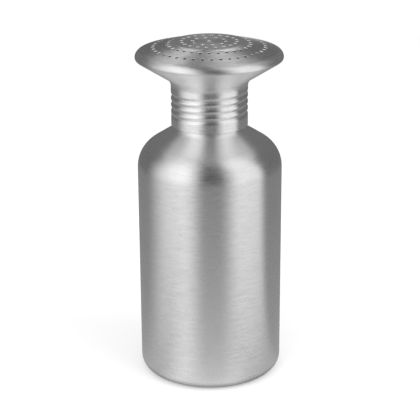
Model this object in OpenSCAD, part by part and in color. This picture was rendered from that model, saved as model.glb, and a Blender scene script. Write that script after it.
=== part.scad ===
// Screw-top spice shaker: an aluminium bottle with a funnel-shaped sprinkler head.
// Millimetres, +Z up, origin at the centre of the base on the table.
// Every round part is a sheet or wall profile turned about the Z axis.
// A profile function takes the depth below the outer surface: 0 is the outside, the wall is the inside.

/* [Bottle] */
// Outer diameter of the body
body_d = 85; // [80:0.5:92]
// Height of the straight wall above the table
body_h = 127.5; // [100:0.5:160]
// Thickness of the drawn aluminium wall
wall = 1.2; // [0.9:0.1:1.6]
// Radius of the rounded bottom edge
base_round = 7; // [5:0.5:9]
// Radius of the push-up under the base
push_r = 28; // [20:1:30]
// Height of the push-up, which leaves a flat ring to stand on
push_up = 2; // [1:0.25:3]
// Radius of the rounded shoulder
shoulder_round = 18.5; // [15:0.5:19]
// Slope of the shoulder and of the head's funnel against the table, in degrees
slope = 32.5; // [30:0.5:36]
// Radius where the shoulder turns up into the neck
root_round = 5; // [4:0.5:6]

/* [Screw collar] */
// Outer diameter of the collar's skirt
skirt_d = 44.8; // [42:0.2:47]
// Height of the skirt's straight wall
skirt_h = 23.2; // [20:0.2:28]
// Wall of the skirt
skirt_wall = 1; // [0.8:0.1:1.2]
// Radial clearance between the skirt and the neck
screw_gap = 0.3; // [0.2:0.05:0.5]
// Clearance between the skirt's lower edge and the shoulder
seat_gap = 0.5; // [0.3:0.1:1]
// Radius where the skirt turns out into the funnel
flare_round = 6; // [4:0.5:8]
// Wall of the funnel
funnel_wall = 1; // [0.8:0.1:1.3]
// Radius of the throat that the spice falls through
throat_r = 19.4; // [18:0.1:19.6]
// Edge break of the skirt's lower edge
edge_break = 0.3; // [0.1:0.1:0.3]

/* [Sprinkler cap] */
// How far the head's rim stands out past the body's wall
rim_reach = 0.4; // [0:0.1:2]
// Thickness of the cap's sheet
sheet = 0.7; // [0.6:0.1:1.2]
// Radius of the rim above its widest line
rim_round = 3.8; // [3:0.1:5]
// Radius of the rim below its widest line
under_round = 1.4; // [1.2:0.1:2]
// How far below the widest line the cap's edge meets the funnel
seam_drop = 0.7; // [0.4:0.1:0.8]
// Clearance between the cap and the funnel's lip inside it
lap_gap = 0.05; // [0:0.01:0.1]
// How far the funnel's lip is rolled in under the cap, in degrees
lip_roll = 60; // [40:5:70]
// Radius of the sphere that the cap is part of
dome_r = 147; // [120:1:200]
// Outer radius of the step round the raised disc
step_r = 23.3; // [22:0.1:24]
// Height of the step above the dome at its foot
step_h = 1.4; // [1:0.1:1.8]
// Radius of the bends at the foot and the top of the step
step_round = 1.9; // [1.6:0.1:2.2]

/* [Holes] */
// Diameter of each hole
hole_d = 2; // [1.2:0.1:2.4]
// Radii of the four rings of holes
ring_r = [9.6, 16, 24, 32.4];
// Turn of each ring against the front, in degrees
ring_turn = [12.5, -5.5, 0, 2.3];
// Holes added from one ring to the next, and in the first ring
ring_step = 10; // [6:1:10]

/* [Sealing washer] */
// Thickness of the soft ring between the neck's lip and the collar
seal_t = 1.5; // [1:0.1:2]
// Clearance of the soft ring inside the skirt
seal_gap = 0.3; // [0.1:0.05:0.4]
// Radial width of the soft ring
seal_w = 1.5; // [1:0.1:1.6]

/* [Hidden] */
$fn = 128;
aluminium = [0.74, 0.74, 0.75];
soft_white = [0.86, 0.86, 0.83];
arc_steps = 12;
bend_steps = 8;

body_r = body_d / 2;
skirt_r = skirt_d / 2;
skirt_in = skirt_r - skirt_wall;
neck_r = skirt_in - screw_gap;
head_r = body_r + rim_reach;

// Bottle: the shoulder's cone leaves its arc here and runs down the slope
cone_r = body_r - shoulder_round + shoulder_round * sin(slope);
cone_z = body_h + shoulder_round * cos(slope);
root_x = neck_r + root_round;
root_z = cone_z + (cone_r - root_x + root_round * sin(slope)) * tan(slope) + root_round * cos(slope);

// Collar: the skirt stands clear of the bend at the neck's root
root_top_z = root_z - sqrt(pow(root_round, 2) - pow(root_x - skirt_in, 2));
skirt_z = root_top_z + seat_gap;
skirt_top = skirt_z + skirt_h;
neck_top = skirt_top - seal_t;
flare_end = [skirt_r + flare_round * (1 - sin(slope)), skirt_top + flare_round * cos(slope)];

// Rim: both arcs meet at the widest line, and the lower one runs on into the funnel
under_x = head_r - under_round;
under_end_r = under_x + under_round * sin(slope);
under_end_z = flare_end[1] + (under_end_r - flare_end[0]) * tan(slope);
rim_x = head_r - rim_round;
rim_z = under_end_z + under_round * cos(slope);
seam_z = rim_z - seam_drop;
lip_r = head_r - sheet - lap_gap;
lip_in = lip_r - funnel_wall;

// Dome: a sphere about the axis that touches the rim's arc from inside
dome_z = rim_z - sqrt(pow(dome_r - rim_round, 2) - pow(rim_x, 2));
rim_tilt = asin(rim_x / (dome_r - rim_round));
foot_tilt = asin(step_r / dome_r);
step_tilt = acos((1 + cos(foot_tilt) - step_h / step_round) / 2);
rim_out = (dome_r - sheet) * sin(rim_tilt);
foot_x = step_r + step_round * sin(foot_tilt);
foot_z = dome_z + (dome_r + step_round) * cos(foot_tilt);
disc_r = foot_x - 2 * step_round * sin(step_tilt);
disc_bend_z = foot_z - 2 * step_round * cos(step_tilt);
disc_z = disc_bend_z + step_round;

// Points of an arc about [x, z], from angle a to angle b in n steps, without its first point
function arc(x, z, r, a, b, n = arc_steps) = [for (i = [1:n]) let (t = a + (b - a) * i / n)
    [x + r * cos(t), z + r * sin(t)]];

function reverse(points) = [for (i = [len(points) - 1:-1:0]) points[i]];

// Height of the funnel's surface at radius r, at depth d below its outside
function funnel_z(r, d) = flare_end[1] + (r - flare_end[0]) * tan(slope) + d / cos(slope);

// Bottle from the middle of the base to the lip of the neck
function bottle_skin(d) = concat(
    [[0, push_up + d], [push_r + d * tan(22.5), push_up + d]],
    [[push_r + push_up + d * tan(22.5), d], [body_r - base_round, d]],
    arc(body_r - base_round, base_round, base_round - d, -90, 0),
    [[body_r - d, body_h]],
    arc(body_r - shoulder_round, body_h, shoulder_round - d, 0, 90 - slope),
    [[root_x - (root_round + d) * sin(slope), root_z - (root_round + d) * cos(slope)]],
    arc(root_x, root_z, root_round + d, 270 - slope, 180),
    [[neck_r - d, neck_top]]);

// Rim of the cap from its widest line to where the dome takes over
function rim_skin(d) = concat(
    [[head_r - d, rim_z]],
    arc(rim_x, rim_z, rim_round - d, 0, 90 - rim_tilt, bend_steps));

// Step and raised disc of the cap, from the dome to the middle
function disc_skin(d) = concat(
    [[step_r, dome_z + sqrt(pow(dome_r - d, 2) - pow(step_r, 2))]],
    arc(foot_x, foot_z, step_round + d, 270 - foot_tilt, 270 - step_tilt, bend_steps),
    arc(disc_r, disc_bend_z, step_round - d, 90 - step_tilt, 90, bend_steps),
    [[0, disc_z - d]]);

// Angle on the rim's lower arc at height z
function under_angle(z) = asin((z - rim_z) / under_round);

module turned(points) {
    rotate_extrude() polygon(points);
}

module bottle() {
    color(aluminium) turned(concat(bottle_skin(0), reverse(bottle_skin(wall))));
}

// Skirt, flare, funnel and rolled-in lip in one sheet, thick at the throat where the washer seats
module collar() {
    ledge_z = seam_z - lap_gap;
    ledge_a = under_angle(ledge_z);
    skirt = [
        [skirt_in, skirt_top], [skirt_in, skirt_z + edge_break], [skirt_in + edge_break, skirt_z],
        [skirt_r - edge_break, skirt_z], [skirt_r, skirt_z + edge_break], [skirt_r, skirt_top]];
    flare = arc(skirt_r + flare_round, skirt_top, flare_round, 180, 90 + slope);
    edge = concat([[under_end_r, under_end_z]], arc(under_x, rim_z, under_round, slope - 90, ledge_a));
    lip_out = concat([[lip_r, ledge_z], [lip_r, rim_z]], arc(rim_x, rim_z, lip_r - rim_x, 0, lip_roll));
    lip_inside = concat([[lip_in, rim_z]], arc(rim_x, rim_z, lip_in - rim_x, 0, lip_roll));
    inside = [
        [lip_in, funnel_z(lip_in, funnel_wall)],
        [throat_r, funnel_z(throat_r, funnel_wall)], [throat_r, skirt_top]];
    color(aluminium) turned(concat(skirt, flare, edge, lip_out, reverse(lip_inside), inside));
}

// Section of the cap: the rim and its edge, the spherical dome, and the step with its disc
module cap_section() {
    edge_a = under_angle(seam_z);
    edge = [
        [head_r - sheet, seam_z],
        [under_x + under_round * cos(edge_a), seam_z],
        [under_x + under_round * cos(edge_a / 2), rim_z + under_round * sin(edge_a / 2)]];
    dome_end = [[rim_out, dome_z + sqrt(pow(dome_r, 2) - pow(rim_out, 2))]];
    polygon(concat(edge, rim_skin(0), dome_end, reverse(rim_skin(sheet))));
    intersection() {
        translate([step_r, rim_z]) square([rim_out - step_r, disc_z - rim_z]);
        translate([0, dome_z]) difference() {
            circle(dome_r, $fn = 1440);
            circle(dome_r - sheet, $fn = 1440);
        }
    }
    polygon(concat(disc_skin(0), reverse(disc_skin(sheet))));
}

// One sheet with a centre hole and four rings of drilled holes
module perforated_dome() {
    color(aluminium) difference() {
        rotate_extrude() cap_section();
        hole(0, 0);
        for (i = [0:len(ring_r) - 1], k = [0:ring_step * (i + 1) - 1])
            hole(ring_r[i], ring_turn[i] - 90 + k * 360 / (ring_step * (i + 1)));
    }
}

// Drill for one hole, at radius r and angle a
module hole(r, a) {
    rotate(a) translate([r, 0, rim_z]) cylinder(d = hole_d, h = disc_z - rim_z + 1, $fn = 24);
}

// Soft ring on the neck's lip, under the collar's ledge
module sealing_washer() {
    outer_r = skirt_in - seal_gap;
    color(soft_white) rotate_extrude() translate([outer_r - seal_w, neck_top]) square([seal_w, seal_t]);
}

bottle();
collar();
perforated_dome();
sealing_washer();
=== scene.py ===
# %% [markdown]
# # A screw-top spice shaker in turned aluminium
# The real shaker is a drawn aluminium bottle with a spun head that screws onto its neck. The
# engineering model gives every size and every joint. This script dresses it: smooth skins with
# the rolled thread and rounded hole mouths take the plain solids' place, and procedural metal,
# a studio and a camera finish the picture. Nothing here changes a dimension.

# %% Load the engineering model and keep its box
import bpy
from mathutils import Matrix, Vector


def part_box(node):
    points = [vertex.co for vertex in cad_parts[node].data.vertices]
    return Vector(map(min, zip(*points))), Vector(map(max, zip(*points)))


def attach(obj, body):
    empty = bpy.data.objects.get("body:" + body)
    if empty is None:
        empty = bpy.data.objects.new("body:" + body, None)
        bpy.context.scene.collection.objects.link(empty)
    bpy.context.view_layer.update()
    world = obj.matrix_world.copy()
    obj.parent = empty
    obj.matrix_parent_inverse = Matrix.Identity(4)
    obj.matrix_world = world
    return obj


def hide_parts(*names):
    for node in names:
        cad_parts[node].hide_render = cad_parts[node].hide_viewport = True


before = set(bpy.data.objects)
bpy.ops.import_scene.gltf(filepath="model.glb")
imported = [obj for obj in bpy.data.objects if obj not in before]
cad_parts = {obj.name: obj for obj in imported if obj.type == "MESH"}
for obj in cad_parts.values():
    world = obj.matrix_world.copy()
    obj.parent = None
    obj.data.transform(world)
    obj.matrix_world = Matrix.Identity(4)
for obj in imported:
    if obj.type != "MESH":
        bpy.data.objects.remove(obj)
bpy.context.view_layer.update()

# %% Libraries and units
from math import acos, asin, atan2, cos, hypot, log10, pi, radians, sin, sqrt, tan

import bmesh
import bpy
from mathutils import Euler, Matrix, Vector

MM = 0.001
print("one millimetre is", MM, "in Blender's units")

# %% [markdown]
# ## Sizes and sections
# Every skin is turned about the Z axis, so a piece is a section in radius and height. The sizes
# are the engineering model's own, in millimetres. Heights that can be read off its solids are
# read there, so that the two can't drift apart, and each step below adds the sizes it needs.
# A section could be drawn as a curve, but a list of points can be checked against the sizes.
# A rounded stretch is an arc given by its middle, its radius and two angles.

# %% Sizes that the bottle and the head share
SLOPE = radians(32.5)
SKIRT_R, SKIRT_WALL, SKIRT_H, SCREW_GAP = 22.4, 1.0, 23.2, 0.3
skirt_in = SKIRT_R - SKIRT_WALL
neck_r = skirt_in - SCREW_GAP
skirt_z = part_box("collar")[0].z / MM
skirt_top = skirt_z + SKIRT_H
neck_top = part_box("bottle")[1].z / MM
print("skirt from", round(skirt_z, 2), "to", round(skirt_top, 2), "mm, neck to", round(neck_top, 2), "mm")


# %% Arcs and straight stretches
def arc(x, z, r, a, b, steps):
    """Points of an arc from angle a to angle b, without its first point."""
    angles = [a + (b - a) * i / steps for i in range(1, steps + 1)]
    return [(x + r * cos(t), z + r * sin(t)) for t in angles]


def line(p, q, steps):
    """Points of a straight stretch from p to q, without its first point."""
    return [(p[0] + (q[0] - p[0]) * i / steps, p[1] + (q[1] - p[1]) * i / steps)
            for i in range(1, steps + 1)]


print("a quarter round in two steps:", arc(0, 0, 1, 0, pi / 2, 2))

# %% [markdown]
# ## The bottle's section
# The real bottle is drawn from one disc of aluminium: its base is pushed up, its bottom edge and
# its shoulder are rounded, and its neck is drawn in last. A subdivided cylinder could be pulled
# into that form, but a section keeps every size. The same function gives the outside and the
# inside of the wall, because the inside is the outside moved in by the wall's thickness. The
# neck gets close-set rows of points, because it carries the thread's groove.

# %% Section of the bottle
BODY_R, BODY_H, WALL = 42.5, 127.5, 1.2
BASE_ROUND, PUSH_R, PUSH_UP = 7.0, 28.0, 2.0
SHOULDER_ROUND, ROOT_ROUND = 18.5, 5.0
NECK_ROWS = 84
cone_r = BODY_R - SHOULDER_ROUND + SHOULDER_ROUND * sin(SLOPE)
cone_z = BODY_H + SHOULDER_ROUND * cos(SLOPE)
root_x = neck_r + ROOT_ROUND
root_z = cone_z + (cone_r - root_x + ROOT_ROUND * sin(SLOPE)) * tan(SLOPE) + ROOT_ROUND * cos(SLOPE)


def bottle_section(d):
    """The bottle's section at depth d, from the middle of the base to the lip of the neck."""
    push = d * tan(pi / 8)
    points = [(0, PUSH_UP + d), (PUSH_R + push, PUSH_UP + d), (PUSH_R + PUSH_UP + push, d)]
    points += line(points[-1], (BODY_R - BASE_ROUND, d), 3)
    points += arc(BODY_R - BASE_ROUND, BASE_ROUND, BASE_ROUND - d, -pi / 2, 0, 12)
    points += line(points[-1], (BODY_R - d, BODY_H), 24)
    points += arc(BODY_R - SHOULDER_ROUND, BODY_H, SHOULDER_ROUND - d, 0, pi / 2 - SLOPE, 16)
    root = ROOT_ROUND + d
    points += line(points[-1], (root_x - root * sin(SLOPE), root_z - root * cos(SLOPE)), 8)
    points += arc(root_x, root_z, root, 1.5 * pi - SLOPE, pi, 8)
    points += line(points[-1], (neck_r - d, neck_top), NECK_ROWS if d == 0 else 4)
    return points


print("bottle section of", len(bottle_section(0)), "points outside, neck from", round(root_z, 1), "mm")

# %% [markdown]
# ## The thread
# The collar's thread is rolled: a wheel presses a narrow round groove into the thin skirt while
# the metal between the turns stays out as a soft ridge. The inside gets the same wave, and it
# runs in the groove of the neck. It could be a swept tooth, but a pressed sheet has no tooth, so
# the skin is turned plain and then its points are moved in by a wave that winds up as a helix.

# %% Wave of the rolled thread
PITCH, WAVE_FLOOR = 3.9, 0.1
OUTER_GROOVE, INNER_GROOVE, NECK_GROOVE = 0.75, 0.42, 0.5
THREAD_START = (radians(-75), skirt_z + 6.35)
THREAD_TURNS, RUN_OUT = 3.45, 0.12


def fade(t):
    """A smooth rise from 0 to 1 while t goes from 0 to 1."""
    t = min(max(t, 0), 1)
    return t * t * (3 - 2 * t)


def groove_depth(x, y, z, depth, fade_top=True):
    """How far a point of the skirt or neck is pressed in, from its place round and up the helix."""
    angle = atan2(x, -y)
    rise = (z - THREAD_START[1]) / PITCH - (angle - THREAD_START[0]) / (2 * pi)
    along = round(rise) + (angle - THREAD_START[0]) / (2 * pi)
    wave = (1 - sqrt(sin(pi * (rise - round(rise))) ** 2 + WAVE_FLOOR ** 2)) / (1 - WAVE_FLOOR)
    start = fade((along + RUN_OUT) / (2 * RUN_OUT))
    end = fade((THREAD_TURNS + RUN_OUT - along) / (2 * RUN_OUT)) if fade_top else 1
    return depth * max(wave, 0) * start * end


def press_in(v, r, depth):
    """Moves a skin's point at radius r towards the axis by a depth, both in millimetres."""
    v.co.x *= (r - depth) / r
    v.co.y *= (r - depth) / r


print("thread of", THREAD_TURNS, "turns from", round(THREAD_START[1], 1), "mm")

# %% [markdown]
# ## Turning a section
# A lathe bed is the picture to keep in mind: bmesh's spin operator carries the section once
# round the axis, and use_merge closes the last step onto the first. A Screw modifier could do
# it too, but the thread's wave has to move real points. The bottle's section starts and ends on
# the axis, so it stays open, and the collar's section is a closed loop.

# %% Turn a section into a skin
TURN_STEPS = 180
SAME_POINT = 0.002 * MM


def finished(name, bm):
    """Writes a bmesh to a new object with its faces pointing outwards."""
    bmesh.ops.recalc_face_normals(bm, faces=bm.faces)
    mesh = bpy.data.meshes.new(name)
    bm.to_mesh(mesh)
    bm.free()
    piece = bpy.data.objects.new(name, mesh)
    bpy.context.scene.collection.objects.link(piece)
    return piece


def turned(name, section, closed):
    """A skin turned from a section in millimetres, as a new object at the origin."""
    bm = bmesh.new()
    verts = [bm.verts.new((0, -r * MM, z * MM)) for r, z in section]
    edges = [bm.edges.new(pair) for pair in zip(verts, verts[1:])]
    if closed:
        edges.append(bm.edges.new((verts[-1], verts[0])))
    bmesh.ops.spin(bm, geom=verts + edges, cent=(0, 0, 0), axis=(0, 0, 1), angle=2 * pi,
                   steps=TURN_STEPS, use_merge=True)
    bmesh.ops.remove_doubles(bm, verts=bm.verts, dist=SAME_POINT)
    return finished(name, bm)


def shade_smooth(piece, sharp_over=35):
    """Smooth shading that keeps edges sharper than the given angle."""
    mesh = piece.data
    mesh.shade_smooth()
    mesh.set_sharp_from_angle(angle=radians(sharp_over))
    triangles = sum(len(p.vertices) - 2 for p in mesh.polygons)
    print(piece.name, len(mesh.vertices), "points", triangles, "triangles")


# %% Bottle skin with the neck's groove
NEAR = 0.1
bottle_skin = turned("bottle_skin", bottle_section(0) + bottle_section(WALL)[::-1], closed=False)
for v in bottle_skin.data.vertices:
    x, y, z = v.co / MM
    r = hypot(x, y)
    if z > root_z and r > neck_r - NEAR:
        press_in(v, r, groove_depth(x, y, z, NECK_GROOVE, fade_top=False))
shade_smooth(bottle_skin)
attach(bottle_skin, "bottle")
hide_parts("bottle")

# %% [markdown]
# ## The collar
# One spun sheet makes the skirt, the flare and the funnel, and its lip is rolled in under the
# dome's rim. It could be built as a tube and a cone joined at the flare, but a joint would crease.
# So the section follows the sheet once round, outside first. Only the skirt gets close-set
# points, because only the skirt has the thread.

# %% Sizes of the collar and of the rim that it carries
EDGE_BREAK, FLARE_ROUND, FUNNEL_WALL, THROAT_R = 0.3, 6.0, 1.0, 19.4
HEAD_R, SHEET, RIM_ROUND, UNDER_ROUND = 42.9, 0.7, 3.8, 1.4
SEAM_DROP, LAP_GAP, LIP_ROLL = 0.7, 0.05, radians(60)
flare_end = (SKIRT_R + FLARE_ROUND * (1 - sin(SLOPE)), skirt_top + FLARE_ROUND * cos(SLOPE))
under_x = HEAD_R - UNDER_ROUND
under_end = under_x + UNDER_ROUND * sin(SLOPE)
under_end = (under_end, flare_end[1] + (under_end - flare_end[0]) * tan(SLOPE))
rim_x, rim_z = HEAD_R - RIM_ROUND, under_end[1] + UNDER_ROUND * cos(SLOPE)
seam_z = rim_z - SEAM_DROP
lip_r = HEAD_R - SHEET - LAP_GAP
lip_in = lip_r - FUNNEL_WALL
print("rim at", round(rim_z, 2), "mm, seam at", round(seam_z, 2), "mm")

# %% Section of the collar
SKIRT_ROWS, SKIRT_INNER_ROWS = 150, 84


def funnel_inside(r):
    """Height of the funnel's inner face at radius r."""
    return flare_end[1] + (r - flare_end[0]) * tan(SLOPE) + FUNNEL_WALL / cos(SLOPE)


def collar_section():
    """The collar's section: skirt, flare and funnel outside, rolled lip, then back down inside."""
    ledge_a = asin((seam_z - LAP_GAP - rim_z) / UNDER_ROUND)
    points = [(skirt_in, skirt_z + EDGE_BREAK), (skirt_in + EDGE_BREAK, skirt_z)]
    points += [(SKIRT_R - EDGE_BREAK, skirt_z), (SKIRT_R, skirt_z + EDGE_BREAK)]
    points += line(points[-1], (SKIRT_R, skirt_top), SKIRT_ROWS)
    points += arc(SKIRT_R + FLARE_ROUND, skirt_top, FLARE_ROUND, pi, pi / 2 + SLOPE, 12)
    points += line(points[-1], under_end, 10)
    points += arc(under_x, rim_z, UNDER_ROUND, SLOPE - pi / 2, ledge_a, 4)
    points += [(lip_r, seam_z - LAP_GAP), (lip_r, rim_z)]
    points += arc(rim_x, rim_z, lip_r - rim_x, 0, LIP_ROLL, 6)
    points += [(rim_x + (lip_in - rim_x) * cos(LIP_ROLL), rim_z + (lip_in - rim_x) * sin(LIP_ROLL))]
    points += arc(rim_x, rim_z, lip_in - rim_x, LIP_ROLL, 0, 6)
    points += [(lip_in, funnel_inside(lip_in)), (THROAT_R, funnel_inside(THROAT_R))]
    points += [(THROAT_R, skirt_top), (skirt_in, skirt_top)]
    points += line(points[-1], (skirt_in, skirt_z + EDGE_BREAK), SKIRT_INNER_ROWS)[:-1]
    return points


print("collar section of", len(collar_section()), "points")

# %% Collar skin with the rolled thread
collar_skin = turned("collar_skin", collar_section(), closed=True)
for v in collar_skin.data.vertices:
    x, y, z = v.co / MM
    r = hypot(x, y)
    if skirt_z + EDGE_BREAK < z < skirt_top and skirt_in - NEAR < r < SKIRT_R + NEAR:
        outside = r > skirt_in + 2 * NEAR
        press_in(v, r, groove_depth(x, y, z, OUTER_GROOVE if outside else INNER_GROOVE))
shade_smooth(collar_skin)
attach(collar_skin, "head")
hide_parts("collar")

# %% [markdown]
# ## The perforated dome
# The dome is a pressed sheet with a raised disc, and its holes are punched in rings of ten,
# twenty, thirty and forty round a centre hole. Cutting them with a boolean would leave long
# splinter faces that shade badly on a curve. So the flat sheet is laid out first: each hole is
# a circle bridged to its own patch, the patches close into a ring, and the rings are bridged to
# each other. Then the whole sheet is lifted to the dome's section and given its thickness.

# %% Height of the dome at a radius
DOME_R, STEP_R, STEP_H, STEP_ROUND = 147.0, 23.3, 1.4, 1.9
disc_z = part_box("perforated_dome")[1].z / MM
dome_z = rim_z - sqrt((DOME_R - RIM_ROUND) ** 2 - rim_x ** 2)
rim_tilt, foot_tilt = asin(rim_x / (DOME_R - RIM_ROUND)), asin(STEP_R / DOME_R)
step_tilt = acos((1 + cos(foot_tilt) - STEP_H / STEP_ROUND) / 2)
foot_x = STEP_R + STEP_ROUND * sin(foot_tilt)
foot_z = dome_z + (DOME_R + STEP_ROUND) * cos(foot_tilt)
bend_x, bend_z = foot_x - 2 * STEP_ROUND * sin(step_tilt), foot_z - 2 * STEP_ROUND * cos(step_tilt)


def dome_height(r, d=0.0):
    """Height of the sheet at depth d: disc, two bends of the step, sphere, then the rim."""
    if r <= bend_x:
        return bend_z + STEP_ROUND - d
    if r <= bend_x + (STEP_ROUND - d) * sin(step_tilt):
        return bend_z + sqrt((STEP_ROUND - d) ** 2 - (r - bend_x) ** 2)
    if r <= foot_x - (STEP_ROUND + d) * sin(foot_tilt):
        return foot_z - sqrt((STEP_ROUND + d) ** 2 - (foot_x - r) ** 2)
    if r <= (DOME_R - d) * sin(rim_tilt):
        return dome_z + sqrt((DOME_R - d) ** 2 - r ** 2)
    return rim_z + sqrt(max((RIM_ROUND - d) ** 2 - (r - rim_x) ** 2, 0))


print("disc out to", round(bend_x, 2), "mm, step foot at", STEP_R, "mm")
print("disc at", round(dome_height(0), 2), "mm, in the engineering model at", round(disc_z, 2), "mm")

# %% Circles and the patch round a hole
HOLE_R, HOLE_POINTS = 1.0, 24


def circle(bm, radius, count, centre=(0, 0, 0)):
    """The points and edges of a loose circle, as create_circle makes it."""
    made = bmesh.ops.create_circle(bm, segments=count, radius=radius, matrix=Matrix.Translation(centre))
    return made["verts"], list({e for v in made["verts"] for e in v.link_edges})


def to_patch(v, radius, low, high, half):
    """Moves a point of a circle about the hole onto the four sides of the hole's patch."""
    a = atan2(v.co.y, v.co.x - radius) / (pi / 4)
    if abs(a) <= 1:
        r, t = high, a * half
    elif abs(a) < 3:
        r, t = high + (low - high) * (abs(a) - 1) / 2, half if a > 0 else -half
    else:
        r, t = low, (4 - abs(a)) * (half if a > 0 else -half)
    v.co.x, v.co.y = r * cos(t), r * sin(t)


def tent(r):
    """Height while the sheet is laid out: a low tent, because a bridge between level circles can twist."""
    return -r / 2


print("holes of", HOLE_R, "mm radius with", HOLE_POINTS, "points each")

# %% One ring of holes
RING_R, RING_TURN, RING_STEP = (9.6, 16.0, 24.0, 32.4), (12.5, -5.5, 0.0, 2.3), 10
PATCHES = ((7.3, 11.9), (13.7, 18.3), (22.6, 26.6), (30.2, 34.6))
ON_CIRCLE = 0.002


def ring_of_holes(sheet, radius, low, high, count, turn):
    """Adds a ring: one hole bridged to its patch, which spin carries round the axis."""
    bm = bmesh.new()
    hole_edges = circle(bm, HOLE_R, HOLE_POINTS, (radius, 0, 1))[1]
    patch, patch_edges = circle(bm, 2 * HOLE_R, HOLE_POINTS, (radius, 0, 0))
    for v in patch:
        to_patch(v, radius, low, high, pi / count)
    bridged = bmesh.ops.bridge_loops(bm, edges=hole_edges + patch_edges)
    bmesh.ops.subdivide_edges(bm, edges=bridged["edges"], cuts=2, use_grid_fill=True)
    bmesh.ops.rotate(bm, verts=bm.verts, cent=(0, 0, 0), matrix=Matrix.Rotation(turn, 3, "Z"))
    bmesh.ops.spin(bm, geom=bm.verts[:] + bm.edges[:] + bm.faces[:], cent=(0, 0, 0), axis=(0, 0, 1),
                   angle=2 * pi * (count - 1) / count, steps=count - 1, use_duplicate=True)
    for v in bm.verts:
        v.co.z = tent(hypot(v.co.x, v.co.y))
    bmesh.ops.remove_doubles(bm, verts=bm.verts, dist=ON_CIRCLE / 2)
    ring = bpy.data.meshes.new("ring_of_holes")
    bm.to_mesh(ring)
    bm.free()
    sheet.from_mesh(ring)
    bpy.data.meshes.remove(ring)


def loop_at(bm, radius):
    """The open edges of the sheet that lie on a circle of this radius."""
    return [e for e in bm.edges if len(e.link_faces) < 2
            and all(abs(hypot(v.co.x, v.co.y) - radius) < ON_CIRCLE for v in e.verts)]


def bridge_rows(bm, inner_edges, rows, count):
    """Bridges an open loop to circles of the given radius and height, one after the other."""
    for radius, z in rows:
        row = circle(bm, radius, count, (0, 0, z or tent(radius)))[1]
        bmesh.ops.bridge_loops(bm, edges=inner_edges + row)
        inner_edges = row
    return inner_edges


print("rings of", [RING_STEP * (i + 1) for i in range(len(RING_R))], "holes at", RING_R, "mm")

# %% Lay out the drilled sheet flat
DISC_ROWS, DOME_ROWS, STEP_ROWS = [(2.6, 0), (5.0, 0)], [(28.4, 0)], 8
sheet = bmesh.new()
for i, (low, high) in enumerate(PATCHES):
    ring_of_holes(sheet, RING_R[i], low, high, RING_STEP * (i + 1), radians(RING_TURN[i] - 90))
centre_hole = circle(sheet, HOLE_R, HOLE_POINTS, (0, 0, tent(HOLE_R)))[1]
centre_row = bridge_rows(sheet, centre_hole, DISC_ROWS, HOLE_POINTS)
bmesh.ops.bridge_loops(sheet, edges=centre_row + loop_at(sheet, PATCHES[0][0]))
bmesh.ops.bridge_loops(sheet, edges=loop_at(sheet, PATCHES[0][1]) + loop_at(sheet, PATCHES[1][0]))
step_rows = [(bend_x + (PATCHES[2][0] - bend_x) * i / STEP_ROWS, 0) for i in range(STEP_ROWS)]
step_edge = bridge_rows(sheet, loop_at(sheet, PATCHES[1][1]), step_rows, 180)
bmesh.ops.bridge_loops(sheet, edges=step_edge + loop_at(sheet, PATCHES[2][0]))
dome_edge = bridge_rows(sheet, loop_at(sheet, PATCHES[2][1]), DOME_ROWS, 240)
bmesh.ops.bridge_loops(sheet, edges=dome_edge + loop_at(sheet, PATCHES[3][0]))
print("flat sheet of", len(sheet.faces), "faces")

# %% Lift the sheet and turn its rim down
touch = (DOME_R * sin(rim_tilt), 0)
OUTER_ROWS = [(36.6, 0), (38.4, 0), touch]
rim_rows = arc(rim_x, rim_z, RIM_ROUND, pi / 2 - rim_tilt, 0, 10)
rim_rows += arc(under_x, rim_z, UNDER_ROUND, 0, asin(-SEAM_DROP / UNDER_ROUND), 4)
bridge_rows(sheet, loop_at(sheet, PATCHES[3][1]), OUTER_ROWS + rim_rows, 240)
for v in sheet.verts:
    if v.co.z < 0:
        v.co.z = dome_height(hypot(v.co.x, v.co.y))
bmesh.ops.recalc_face_normals(sheet, faces=sheet.faces)
print("sheet lifted to", round(max(v.co.z for v in sheet.verts), 2), "mm")

# %% Give the sheet its thickness
under = bmesh.ops.extrude_face_region(sheet, geom=sheet.faces[:], use_keep_orig=True)["geom"]
thinner = 1 - SHEET / RIM_ROUND
for v in (g for g in under if isinstance(g, bmesh.types.BMVert)):
    r, z = hypot(v.co.x, v.co.y), v.co.z
    inside = HEAD_R - SHEET
    if z > rim_z and r <= touch[0]:
        v.co.z = dome_height(r, SHEET)
        continue
    if z > rim_z:
        inside = rim_x + (r - rim_x) * thinner
        v.co.z = rim_z + (z - rim_z) * thinner
    v.co.x, v.co.y = v.co.x * inside / r, v.co.y * inside / r
bmesh.ops.recalc_face_normals(sheet, faces=sheet.faces)
print("sheet of", SHEET, "mm with", len(sheet.faces), "faces")

# %% [markdown]
# ## Broken edges of the dome
# A punch leaves each hole's upper mouth drawn in a little, and a buffing wheel rounds it
# further. That soft mouth catches a point of light, so it has to be real. A Bevel modifier
# would round every edge alike, and the mouths need more than the hidden lower edges.

# %% Round the mouths and the other sharp edges
MOUTH_BREAK, UNDER_BREAK = 0.3, 0.12
SHARP_OVER, ON_SHEET = radians(60), 0.01


def break_edges(bm, on_top, offset, segments):
    """Rounds the sheet's sharp edges: those of the holes' upper mouths, or all the others."""
    sharp = [e for e in bm.edges if len(e.link_faces) == 2 and e.calc_face_angle() > SHARP_OVER]
    sharp = [e for e in sharp if on_top == all(is_on_top(v) for v in e.verts)]
    bmesh.ops.bevel(bm, geom=sharp, offset=offset, offset_type="OFFSET", segments=segments, profile=0.5,
                    affect="EDGES", material=-1, clamp_overlap=True)
    print(len(sharp), "edges rounded by", offset, "mm")


def is_on_top(v):
    """Whether a point lies on the sheet's outer face, inside the rim."""
    r = hypot(*v.co.xy)
    return r < PATCHES[-1][1] and abs(v.co.z - dome_height(r)) < ON_SHEET


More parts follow.
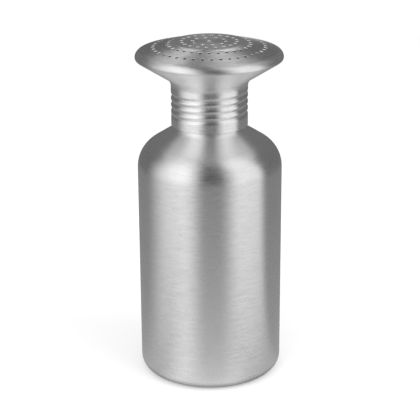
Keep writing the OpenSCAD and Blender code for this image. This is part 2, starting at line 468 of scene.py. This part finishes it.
break_edges(sheet, True, MOUTH_BREAK, 4)
break_edges(sheet, False, UNDER_BREAK, 2)

# %% Dome skin
bmesh.ops.scale(sheet, vec=(MM, MM, MM), verts=sheet.verts)
dome_skin = finished("dome_skin", sheet)
shade_smooth(dome_skin, 30)
heights = [round(v.co.z / MM, 2) for v in dome_skin.data.vertices]
print("dome from", min(heights), "to", max(heights), "mm")
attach(dome_skin, "head")
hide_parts("perforated_dome")

# %% [markdown]
# ## Turned grain
# The metal was finished on a lathe with a fine abrasive, so every scratch runs round the axis.
# On the wall the lines lie one above the other, on the dome they are rings, and on the slopes
# they are both. A picture of brushed metal would need a different unwrapping for each. A noise
# that is stretched round the axis does all three: it changes fast with height and with radius,
# and slowly with the direction from the axis.


# %% Helpers for shader nodes
def node(tree, kind, **settings):
    """Adds a node and sets its plain settings and its unlinked sockets by name."""
    made = tree.nodes.new(kind)
    for key, value in settings.items():
        if key in made.inputs:
            made.inputs[key].default_value = value
        else:
            setattr(made, key, value)
    return made


def maths(tree, operation, a, b=None):
    """A Math node on two sockets or numbers."""
    made = tree.nodes.new("ShaderNodeMath")
    made.operation = operation
    for socket, value in zip(made.inputs, (a, b)):
        if value is None:
            continue
        if isinstance(value, (int, float)):
            socket.default_value = value
        else:
            tree.links.new(value, socket)
    return made.outputs[0]


def object_place(tree):
    """The X, Y and Z of a point in the object's own space."""
    split = node(tree, "ShaderNodeSeparateXYZ")
    tree.links.new(node(tree, "ShaderNodeTexCoord").outputs["Object"], split.inputs[0])
    return split.outputs


def axis_distance(tree, x, y):
    """Distance of a point from the Z axis."""
    squares = [maths(tree, "MULTIPLY", side, side) for side in (x, y)]
    return maths(tree, "SQRT", maths(tree, "ADD", *squares))


print("four helpers for shader nodes")


# %% Node group of the turned grain
def turned_grain_group(sets):
    """Noise stretched round the axis, one output for each name, lines a metre and cells a radian."""
    group = bpy.data.node_groups.new("turned_grain", "ShaderNodeTree")
    for name, _, _ in sets:
        group.interface.new_socket(name, in_out="OUTPUT", socket_type="NodeSocketFloat")
    x, y, z = object_place(group)
    radius = axis_distance(group, x, y)
    out = node(group, "NodeGroupOutput")
    for name, lines_a_metre, cells_a_radian in sets:
        vector = node(group, "ShaderNodeCombineXYZ")
        for socket, side in zip(vector.inputs, (x, y)):
            turn = maths(group, "MULTIPLY", maths(group, "DIVIDE", side, radius), cells_a_radian)
            group.links.new(turn, socket)
        group.links.new(maths(group, "MULTIPLY", z, lines_a_metre), vector.inputs[2])
        noise = node(group, "ShaderNodeTexNoise", noise_dimensions="4D", Scale=1.0, Detail=3.0, Roughness=0.6)
        group.links.new(vector.outputs[0], noise.inputs["Vector"])
        group.links.new(maths(group, "MULTIPLY", radius, lines_a_metre), noise.inputs["W"])
        group.links.new(noise.outputs["Fac"], out.inputs[name])
    return group


grain = turned_grain_group((("Fine", 2600, 20.0), ("Coarse", 900, 6.0)))
print("group", grain.name, "with", len(grain.nodes), "nodes")

# %% [markdown]
# ## Marks of use
# A shaker is gripped, set down hard and washed. That leaves smooth rubbed edges, soft smudges
# where the fingers were and a few hair scratches in all directions. They could be painted on,
# but noise in the object's own space reaches every side alike and shows no seam.


# %% A value mapped to a range, evenly or smoothly
def remap(tree, value, source, target, **settings):
    """A Map Range node that takes the source's two values to the target's."""
    made = node(tree, "ShaderNodeMapRange", **settings)
    for name, number in zip(("From Min", "From Max", "To Min", "To Max"), (*source, *target)):
        made.inputs[name].default_value = number
    tree.links.new(value, made.inputs["Value"])
    return made.outputs[0]


def smooth_step(tree, value, start, end):
    """0 below start and 1 above end, or the other way round where end is the lower one."""
    target = (0.0, 1.0) if start < end else (1.0, 0.0)
    return remap(tree, value, sorted((start, end)), target, interpolation_type="SMOOTHSTEP")


print("two ways to map a value")


# %% Node group of the marks of use
def marks_of_use_group():
    """Rubbed metal between two heights, finger smudges and hair scratches, each from 0 to 1."""
    group = bpy.data.node_groups.new("marks_of_use", "ShaderNodeTree")
    for name in ("Rub from", "Rub to"):
        group.interface.new_socket(name, in_out="INPUT", socket_type="NodeSocketFloat")
    for name in ("Rubbed", "Smudge", "Scratch"):
        group.interface.new_socket(name, in_out="OUTPUT", socket_type="NodeSocketFloat")
    heights = node(group, "NodeGroupInput")
    out = node(group, "NodeGroupOutput")
    step = node(group, "ShaderNodeMapRange", interpolation_type="SMOOTHSTEP")
    group.links.new(object_place(group)[2], step.inputs["Value"])
    group.links.new(heights.outputs["Rub from"], step.inputs["From Min"])
    group.links.new(heights.outputs["Rub to"], step.inputs["From Max"])
    patchy, smudges, breaks = [
        node(group, "ShaderNodeTexNoise", Scale=scale, Detail=2.0) for scale in (55.0, 75.0, 140.0)]
    hairs = node(group, "ShaderNodeTexVoronoi", feature="DISTANCE_TO_EDGE", Scale=45.0)
    place = node(group, "ShaderNodeTexCoord")
    for texture in (patchy, smudges, breaks, hairs):
        group.links.new(place.outputs["Object"], texture.inputs["Vector"])
    group.links.new(maths(group, "MULTIPLY", step.outputs[0], patchy.outputs["Fac"]), out.inputs["Rubbed"])
    group.links.new(smooth_step(group, smudges.outputs["Fac"], 0.5, 0.7), out.inputs["Smudge"])
    thin = smooth_step(group, hairs.outputs["Distance"], 0.008, 0.0)
    here_and_there = smooth_step(group, breaks.outputs["Fac"], 0.55, 0.7)
    group.links.new(maths(group, "MULTIPLY", thin, here_and_there), out.inputs["Scratch"])
    return group


marks = marks_of_use_group()
print("group", marks.name, "with", len(marks.nodes), "nodes")

# %% [markdown]
# ## Aluminium
# Bare aluminium is a pale grey metal. A plain rough metal would blur a highlight alike all round,
# but the turned lines are rougher across than along and draw it out into a long streak. So the
# shader is anisotropic about the Z axis. The dome's abrasive was drawn outwards while it turned,
# so its lines are shallow spirals and its highlights lean to one side. The grain and the marks
# of use vary the colour, the roughness and the bump.


# %% Colour, roughness and relief of the metal
def grey(level):
    """A grey of one level, as a colour socket takes it."""
    return (level, level, level, 1)


def metal_colour(tree, tone, wear, pale, dark):
    """From the dark grey to the pale one with the tone, paler where the metal is rubbed or scratched."""
    ramp = node(tree, "ShaderNodeValToRGB")
    for element, position, level in zip(ramp.color_ramp.elements, (0.36, 0.64), (dark, pale)):
        element.position, element.color = position, grey(level)
    bright = maths(tree, "ADD", tone, maths(tree, "MULTIPLY", wear.outputs["Rubbed"], 0.12))
    bright = maths(tree, "ADD", bright, maths(tree, "MULTIPLY", wear.outputs["Scratch"], 0.15))
    tree.links.new(bright, ramp.inputs[0])
    return ramp.outputs[0]


def metal_roughness(tree, tone, wear, least):
    """A tenth of roughness from groove to ridge, less where it is rubbed and more under a smudge."""
    rough = remap(tree, tone, (0.3, 0.7), (least, least + 0.1))
    rough = maths(tree, "SUBTRACT", rough, maths(tree, "MULTIPLY", wear.outputs["Rubbed"], 0.08))
    return maths(tree, "ADD", rough, maths(tree, "MULTIPLY", wear.outputs["Smudge"], 0.03))


def metal_relief(tree, lines, streaks):
    """Bump of the fine lines, and of the coarse ones as many times as streaks says."""
    bump = node(tree, "ShaderNodeBump", Strength=0.25, Distance=0.00003)
    coarse = maths(tree, "MULTIPLY", lines.outputs["Coarse"], streaks)
    tree.links.new(maths(tree, "ADD", lines.outputs["Fine"], coarse), bump.inputs["Height"])
    return bump.outputs[0]


print("pale grey is", grey(0.9))

# %% Aluminium material; with heights above the shaker it isn't rubbed
ALONG_THE_LINES = 0.25
COARSE_SHARE, FINE_SHARE = 0.6, 0.4
NOT_RUBBED = (0.3, 0.4)


def aluminium(name, pale, dark, roughness, rubbed=NOT_RUBBED, anisotropy=0.9, spiral=0.0, streaks=0.0):
    """Turned aluminium, rubbed from one height in metres to the other; spiral is part of a turn."""
    material = bpy.data.materials.new(name)
    material.use_nodes = True
    tree = material.node_tree
    shader = tree.nodes["Principled BSDF"]
    shader.inputs["Metallic"].default_value = 1.0
    shader.inputs["Anisotropic"].default_value = anisotropy
    shader.inputs["Anisotropic Rotation"].default_value = ALONG_THE_LINES + spiral
    tangent = node(tree, "ShaderNodeTangent", direction_type="RADIAL", axis="Z")
    tree.links.new(tangent.outputs[0], shader.inputs["Tangent"])
    lines = node(tree, "ShaderNodeGroup", node_tree=grain)
    wear = node(tree, "ShaderNodeGroup", node_tree=marks)
    wear.inputs["Rub from"].default_value, wear.inputs["Rub to"].default_value = rubbed
    coarse = maths(tree, "MULTIPLY", lines.outputs["Coarse"], COARSE_SHARE)
    tone = maths(tree, "ADD", coarse, maths(tree, "MULTIPLY", lines.outputs["Fine"], FINE_SHARE))
    tree.links.new(metal_colour(tree, tone, wear, pale, dark), shader.inputs["Base Color"])
    tree.links.new(metal_roughness(tree, tone, wear, roughness), shader.inputs["Roughness"])
    tree.links.new(metal_relief(tree, lines, streaks), shader.inputs["Normal"])
    return material


print("a metal without heights of its own would be rubbed only above", NOT_RUBBED[0], "m")

# %% Metal of the bottle, the collar and the dome
BOTTOM_EDGE, COLLAR_LIP, DOME_EDGE = (0.02, 0.0), (0.188, 0.194), (0.1925, 0.1905)
SPIRAL, STREAKS = 0.034, 12.0
body_metal = aluminium("body_aluminium", 0.91, 0.81, 0.23, BOTTOM_EDGE)
head_metal = aluminium("head_aluminium", 0.95, 0.85, 0.18, COLLAR_LIP)
dome_metal = aluminium("dome_aluminium", 0.92, 0.68, 0.40, DOME_EDGE, spiral=SPIRAL, streaks=STREAKS)
for piece, metal in ((bottle_skin, body_metal), (collar_skin, head_metal), (dome_skin, dome_metal)):
    piece.data.materials.append(metal)
    print(metal.name, "on", piece.name)

# %% [markdown]
# ## Softer finish and painted light on the funnel and the shoulder's cone
# The abrasive pad follows a straight wall closely, but it only brushes over a slope, so the
# funnel and the cone come out duller. Their colour is also painted paler, as painted light on
# these slopes. A second material would show a border where it meets the first. So each metal
# is made rougher, and paler as painted light, by degrees, from one height upwards.


# %% Roughen a metal and paint light on it above a height
def roughen_and_paint_light(metal, start, end, rougher, paler):
    """Makes a metal rougher, and paler as painted light, from one height in millimetres to the other and
    above.
    """
    tree = metal.node_tree
    shader = tree.nodes["Principled BSDF"]
    step = smooth_step(tree, object_place(tree)[2], start * MM, end * MM)
    rough = shader.inputs["Roughness"].links[0].from_socket
    rough = maths(tree, "ADD", rough, maths(tree, "MULTIPLY", step, rougher))
    tree.links.new(rough, shader.inputs["Roughness"])
    # The blend towards white is painted light
    blend = node(tree, "ShaderNodeMix", data_type="RGBA")
    share, first, second = blend.inputs[0], blend.inputs[6], blend.inputs[7]
    tree.links.new(maths(tree, "MULTIPLY", step, paler), share)
    tree.links.new(shader.inputs["Base Color"].links[0].from_socket, first)
    second.default_value = grey(1)
    tree.links.new(blend.outputs[2], shader.inputs["Base Color"])
    print(metal.name, "softer from", round(start, 1), "mm up")


# Paler funnel and paler shoulder cone: painted light, over a rougher finish
roughen_and_paint_light(head_metal, skirt_top, skirt_top + 5, rougher=0.24, paler=0.54)
roughen_and_paint_light(body_metal, cone_z - 5, cone_z + 3, rougher=0.11, paler=0.43)

# %% [markdown]
# ## Finishes of the dome's parts
# The raised disc and the turned-down rim were polished finer than the dome between them. The
# punched mouths are raw, bright and matt. The bores in front get a dark metal as painted shade,
# which stands in for the dark inside of the holes. Separate pieces could carry separate metals, but
# the dome is one sheet, so each face picks its metal by its place.

# %% Metals of the disc, the rim and the mouths, and a dark one as painted shade in the bores
disc_metal = aluminium("disc_aluminium", 0.98, 0.80, 0.27, anisotropy=0.6, streaks=STREAKS)
rim_metal = aluminium("rim_aluminium", 0.96, 0.82, 0.32, DOME_EDGE, spiral=SPIRAL, streaks=STREAKS)
mouth_metal = aluminium("mouth_aluminium", 0.97, 0.93, 0.75, anisotropy=0.0)
# A dark metal as painted shade in the front bores, for the dark inside of the holes
shaded_bore_metal = aluminium("shaded_bore_aluminium", 0.40, 0.30, 0.5, anisotropy=0.0)
for metal in (disc_metal, rim_metal, mouth_metal, shaded_bore_metal):
    dome_skin.data.materials.append(metal)
print("dome's metals", [metal.name for metal in dome_skin.data.materials])

# %% Give each face of the dome its metal
DOME, DISC, RIM, MOUTH, SHADED_BORE = range(5)
# The last angle says how far round from the front the bores get the painted shade
MOUTH_REACH, UNDERSIDE, LEVEL, UPRIGHT, SHADED_BORE_ARC = 0.3, -0.7, 0.97, 0.1, radians(60)


def nearest_hole(x, y):
    """Distance in mm from the axis of the nearest hole, and the radius of that hole's ring."""
    reach = [(hypot(x, y), 0)]
    for i, radius in enumerate(RING_R):
        step = 2 * pi / (RING_STEP * (i + 1))
        turn = atan2(y, x) - radians(RING_TURN[i] - 90)
        off = turn - step * round(turn / step)
        reach.append((hypot(hypot(x, y) * cos(off) - radius, hypot(x, y) * sin(off)), radius))
    return min(reach)


def finish_of(face):
    """Which of the dome's metals a face gets, from its radius and from the hole next to it."""
    x, y, up = face.center.x / MM, face.center.y / MM, face.normal.z
    away, ring = nearest_hole(x, y)
    if away < HOLE_R + MOUTH_REACH and UNDERSIDE < up < LEVEL:
        # Bores that face the front get the dark metal as painted shade
        shaded = ring > STEP_R and up < UPRIGHT and abs(atan2(x, -y)) < SHADED_BORE_ARC
        return SHADED_BORE if shaded else MOUTH
    if hypot(x, y) < STEP_R:
        return DISC
    return RIM if hypot(x, y) > touch[0] else DOME


for face in dome_skin.data.polygons:
    face.material_index = finish_of(face)
print("faces of each metal", [sum(f.material_index == i for f in dome_skin.data.polygons) for i in range(5)])

# %% [markdown]
# ## Soft seal
# The washer under the collar is a soft pale ring. It is hidden until the head is off, and a flat
# colour would do for that, but it is the engineering model's own piece and stays in view when
# the head is lifted. So it gets a real finish: matt, slightly mottled, with a faint texture.

# %% Seal material
seal = bpy.data.materials.new("soft_seal")
seal.use_nodes = True
tree = seal.node_tree
shader = tree.nodes["Principled BSDF"]
mottle = node(tree, "ShaderNodeTexNoise", Scale=900.0, Detail=4.0)
tree.links.new(node(tree, "ShaderNodeTexCoord").outputs["Object"], mottle.inputs["Vector"])
ramp = node(tree, "ShaderNodeValToRGB")
ramp.color_ramp.elements[0].color = (0.60, 0.60, 0.56, 1)
ramp.color_ramp.elements[1].color = (0.74, 0.74, 0.70, 1)
tree.links.new(mottle.outputs["Fac"], ramp.inputs[0])
tree.links.new(ramp.outputs[0], shader.inputs["Base Color"])
tree.links.new(remap(tree, mottle.outputs["Fac"], (0, 1), (0.6, 0.85)), shader.inputs["Roughness"])
bump = node(tree, "ShaderNodeBump", Strength=0.3, Distance=0.00005)
tree.links.new(mottle.outputs["Fac"], bump.inputs["Height"])
tree.links.new(bump.outputs[0], shader.inputs["Normal"])
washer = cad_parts["sealing_washer"]
washer.data.materials.clear()
washer.data.materials.append(seal)
print("seal on", washer.name)

# %% [markdown]
# ## White room and white floor
# The shaker stands on a white floor in a white room. The camera, a gloss and a glass see pure
# white behind it, and all other light comes from a dimmer world, so that the floor keeps a soft
# shadow. The floor could be cut out afterwards, but then the shadow would go with it.


# %% White world, dimmer for all rays but the background's
def shown_as_backdrop(tree):
    """1 for rays that show the background: from the camera, a gloss or a glass."""
    path = node(tree, "ShaderNodeLightPath")
    either = maths(tree, "MAXIMUM", path.outputs["Is Camera Ray"], path.outputs["Is Glossy Ray"])
    return maths(tree, "MAXIMUM", either, path.outputs["Is Transmission Ray"])


SEEN_WHITE, LIT_WHITE = 1.0, 0.75
world = bpy.data.worlds.new("white_studio")
bpy.context.scene.world = world
world.use_nodes = True
tree = world.node_tree
tree.nodes.clear()
out = node(tree, "ShaderNodeOutputWorld")
seen = node(tree, "ShaderNodeBackground", Color=grey(1), Strength=SEEN_WHITE)
lit = node(tree, "ShaderNodeBackground", Color=grey(1), Strength=LIT_WHITE)
mix = node(tree, "ShaderNodeMixShader")
tree.links.new(shown_as_backdrop(tree), mix.inputs[0])
tree.links.new(lit.outputs[0], mix.inputs[1])
tree.links.new(seen.outputs[0], mix.inputs[2])
tree.links.new(mix.outputs[0], out.inputs[0])
print("world", world.name)

# %% White floor, brighter far away
FLOOR_HALF, FLOOR_DROP = 4, 0.00005
NEAR_GLOW, FAR_GLOW, GLOW_RISE = 0.3, 0.2, (0.8, 2.0)
bm = bmesh.new()
bmesh.ops.create_grid(bm, x_segments=1, y_segments=1, size=FLOOR_HALF)
floor = finished("floor", bm)
white = bpy.data.materials.new("white_floor")
white.use_nodes = True
tree = white.node_tree
shader = tree.nodes["Principled BSDF"]
shader.inputs["Base Color"].default_value = grey(0.85)
shader.inputs["Roughness"].default_value = 0.9
shader.inputs["Specular IOR Level"].default_value = 0.0
shader.inputs["Emission Color"].default_value = grey(1)
away = node(tree, "ShaderNodeVectorMath", operation="LENGTH")
tree.links.new(node(tree, "ShaderNodeTexCoord").outputs["Object"], away.inputs[0])
far = maths(tree, "MULTIPLY", smooth_step(tree, away.outputs["Value"], *GLOW_RISE), FAR_GLOW)
glow = maths(tree, "MULTIPLY", shown_as_backdrop(tree), maths(tree, "ADD", far, NEAR_GLOW))
tree.links.new(glow, shader.inputs["Emission Strength"])
floor.data.materials.append(white)
floor.location.z = -FLOOR_DROP
print("floor of", 2 * FLOOR_HALF, "m")

# %% [markdown]
# ## The room that the metal mirrors
# A metal shows what is round it, so its look comes from four sheets that stand round it like a
# round tent: the table, the wall, the upper wall and the top. The lower three are bright at the
# left and at the right, where a softbox is, and darker in front and behind. Plain square cards
# could do it, but their edges would be seen in so round a bottle. Reflections alone show the
# sheets, so they cast no shadow.


# %% Directions round the axis
def axis_angle(tree, x, y):
    """Direction of a point from the axis, in degrees from the front towards the right."""
    angle = maths(tree, "ARCTAN2", x, maths(tree, "MULTIPLY", y, -1.0))
    return maths(tree, "MULTIPLY", angle, 180 / pi)


def between(tree, value, rise, fall):
    """1 from where the rise ends to where the fall starts, and 0 beyond them."""
    return maths(tree, "MULTIPLY", smooth_step(tree, value, *rise), smooth_step(tree, value, *fall))


print("two helpers for directions")

# %% Node group: how bright the room is in each direction, with edges in degrees
SIDES = ("Back", "Left", "Right", "Front")
SOFTBOX_EDGES = (("Left", (-115, -63), (-5, -43)),
                 ("Front", (-43, -5), (47, 13)),
                 ("Right", (13, 47), (98, 78)))


def room_group():
    """Brightness of a sheet: its tone behind, and over that the tones of the three other sides."""
    group = bpy.data.node_groups.new("room_light", "ShaderNodeTree")
    for name in SIDES:
        group.interface.new_socket(name, in_out="INPUT", socket_type="NodeSocketFloat")
    group.interface.new_socket("Glow", in_out="OUTPUT", socket_type="NodeSocketFloat")
    tones = node(group, "NodeGroupInput")
    x, y, z = object_place(group)
    angle = axis_angle(group, x, y)
    glow = tones.outputs["Back"]
    for side, rise, fall in SOFTBOX_EDGES:
        over = between(group, angle, rise, fall)
        more = maths(group, "SUBTRACT", tones.outputs[side], tones.outputs["Back"])
        glow = maths(group, "ADD", glow, maths(group, "MULTIPLY", over, more))
    group.links.new(glow, node(group, "NodeGroupOutput").inputs["Glow"])
    return group


room = room_group()
print("group", room.name, "with", len(room.nodes), "nodes")

# %% Sheets of the room that only reflections show
SHEET_STEPS = 48


def sheet_of_room(name, profile, glow):
    """A sheet turned round the axis, each point of its profile a radius and a height in metres."""
    bm = bmesh.new()
    verts = [bm.verts.new((0, -radius, z)) for radius, z in profile]
    edges = [bm.edges.new(pair) for pair in zip(verts, verts[1:])]
    bmesh.ops.spin(bm, geom=verts + edges, cent=(0, 0, 0), axis=(0, 0, 1), angle=2 * pi,
                   steps=SHEET_STEPS, use_merge=True)
    piece = finished(name, bm)
    material = bpy.data.materials.new(name + "_glow")
    material.use_nodes = True
    tree = material.node_tree
    tree.nodes.clear()
    out = node(tree, "ShaderNodeOutputMaterial")
    light = node(tree, "ShaderNodeEmission", Color=grey(1))
    tones = node(tree, "ShaderNodeGroup", node_tree=room)
    for side, tone in zip(SIDES, glow):
        tones.inputs[side].default_value = tone
    tree.links.new(tones.outputs["Glow"], light.inputs["Strength"])
    tree.links.new(light.outputs[0], out.inputs[0])
    piece.data.materials.append(material)
    piece.visible_camera = piece.visible_diffuse = piece.visible_shadow = False
    piece.visible_transmission = piece.visible_volume_scatter = False
    print(name, "with tones", glow)
    return piece


print("sheets turned in", SHEET_STEPS, "steps")

# %% Four sheets, each with its tones behind, at the left, at the right and in front
UNDER_THE_BASE = [(0.0369, 0.0001), (0.0395, 0.0006), (0.0435, 0.001)]
WALL_FOOT, WALL_MIDDLE, WALL_TOP = (0.6, 0.001), (0.6, 0.35), (0.55, 0.65)
UPPER_TOP, CROWN = (0.3, 0.9), (0.001, 1.0)
table = sheet_of_room("table_sheet", UNDER_THE_BASE + [WALL_FOOT], (0.24, 0.66, 0.71, 0.24))
sheet_of_room("wall_sheet", [WALL_FOOT, WALL_MIDDLE, WALL_TOP], (0.16, 1.0, 0.86, 0.10))
sheet_of_room("upper_sheet", [WALL_TOP, UPPER_TOP], (0.49, 0.70, 1.0, 0.17))
sheet_of_room("top_sheet", [UPPER_TOP, CROWN], (0.0, 0.0, 0.73, 0.5))

# %% [markdown]
# ## The table near the base
# The lowest part of the wall mirrors the table close by, and the bottle shades that part of the
# table itself. A real bounce of light would show it, but the mirrored table is a sheet with a
# glow of its own. So its glow goes over to one bright patch near the base, and falls off in the
# last millimetres under the rounded edge.

# %% Blend the table's glow
SIDE_GLOW, FRONT_GLOW, EDGE_GLOW = 0.41, 0.37, 0.25
FRONT_RISE, FRONT_FALL = (-60, -25), (45, 15)
NEAR_BASE, FAR_AWAY, UNDER_EDGE = 0.02, 0.8, (0.037, 0.047)
tree = table.data.materials[0].node_tree
x, y, z = object_place(tree)
radius = axis_distance(tree, x, y)
angle = axis_angle(tree, x, y)
front = between(tree, angle, FRONT_RISE, FRONT_FALL)
near = maths(tree, "ADD", SIDE_GLOW, maths(tree, "MULTIPLY", front, FRONT_GLOW))
away = smooth_step(tree, maths(tree, "LOGARITHM", radius, 10.0), log10(NEAR_BASE), log10(FAR_AWAY))
blend = node(tree, "ShaderNodeMix")
light = next(n for n in tree.nodes if n.type == "EMISSION")
tree.links.new(away, blend.inputs[0])
tree.links.new(near, blend.inputs[2])
tree.links.new(light.inputs["Strength"].links[0].from_socket, blend.inputs[3])
clear = maths(tree, "MULTIPLY", smooth_step(tree, radius, *UNDER_EDGE), 1 - EDGE_GLOW)
shade = maths(tree, "ADD", EDGE_GLOW, clear)
tree.links.new(maths(tree, "MULTIPLY", blend.outputs[0], shade), light.inputs["Strength"])
print("table blended out to", FAR_AWAY, "m")

# %% [markdown]
# ## Lamps
# Two square softboxes light the floor and give the shaker its soft shadow. A sun would cut a
# hard one. The metal gets its bright bands from the sheets, so the lamps can stay weak.


# %% Lamps
def lamp(name, place, aim, size, watts):
    """A square soft light that points at a place on the object."""
    light = bpy.data.lights.new(name, "AREA")
    light.shape, light.size, light.energy = "SQUARE", size, watts
    made = bpy.data.objects.new(name, light)
    made.location = place
    made.rotation_euler = (Vector(aim) - Vector(place)).to_track_quat("-Z", "Y").to_euler()
    bpy.context.scene.collection.objects.link(made)
    print(name, "of", watts, "W")


SHAKER_MIDDLE = (0, 0, 0.12)
lamp("left_softbox", (-0.8, -0.9, 0.9), SHAKER_MIDDLE, 1.0, 4.5)
lamp("right_softbox", (0.9, -0.6, 0.8), SHAKER_MIDDLE, 1.0, 5.5)

# %% [markdown]
# ## Camera
# The camera is a long lens, higher than the head and tipped down at the shaker, with a quarter
# degree of roll. A wide lens close by would fill the picture as well, but it would swell the head.

# %% Camera
LENS, SENSOR = 115.73, 36.0
CAMERA_BACK, CAMERA_UP = 0.7598, 0.3721
TIPPED_DOWN, ROLL = 19.756, radians(-0.289)
camera_data = bpy.data.cameras.new("camera")
camera_data.lens, camera_data.sensor_width, camera_data.clip_start = LENS, SENSOR, 0.05
camera = bpy.data.objects.new("camera", camera_data)
camera.location = (0, -CAMERA_BACK, CAMERA_UP)
aim = Euler((radians(90 - TIPPED_DOWN), 0, 0)).to_matrix() @ Matrix.Rotation(ROLL, 3, "Z")
camera.rotation_euler = aim.to_euler()
bpy.context.scene.collection.objects.link(camera)
bpy.context.scene.camera = camera
bpy.context.scene.view_settings.view_transform = "Standard"
print("camera", round(camera.location.length, 3), "m away")
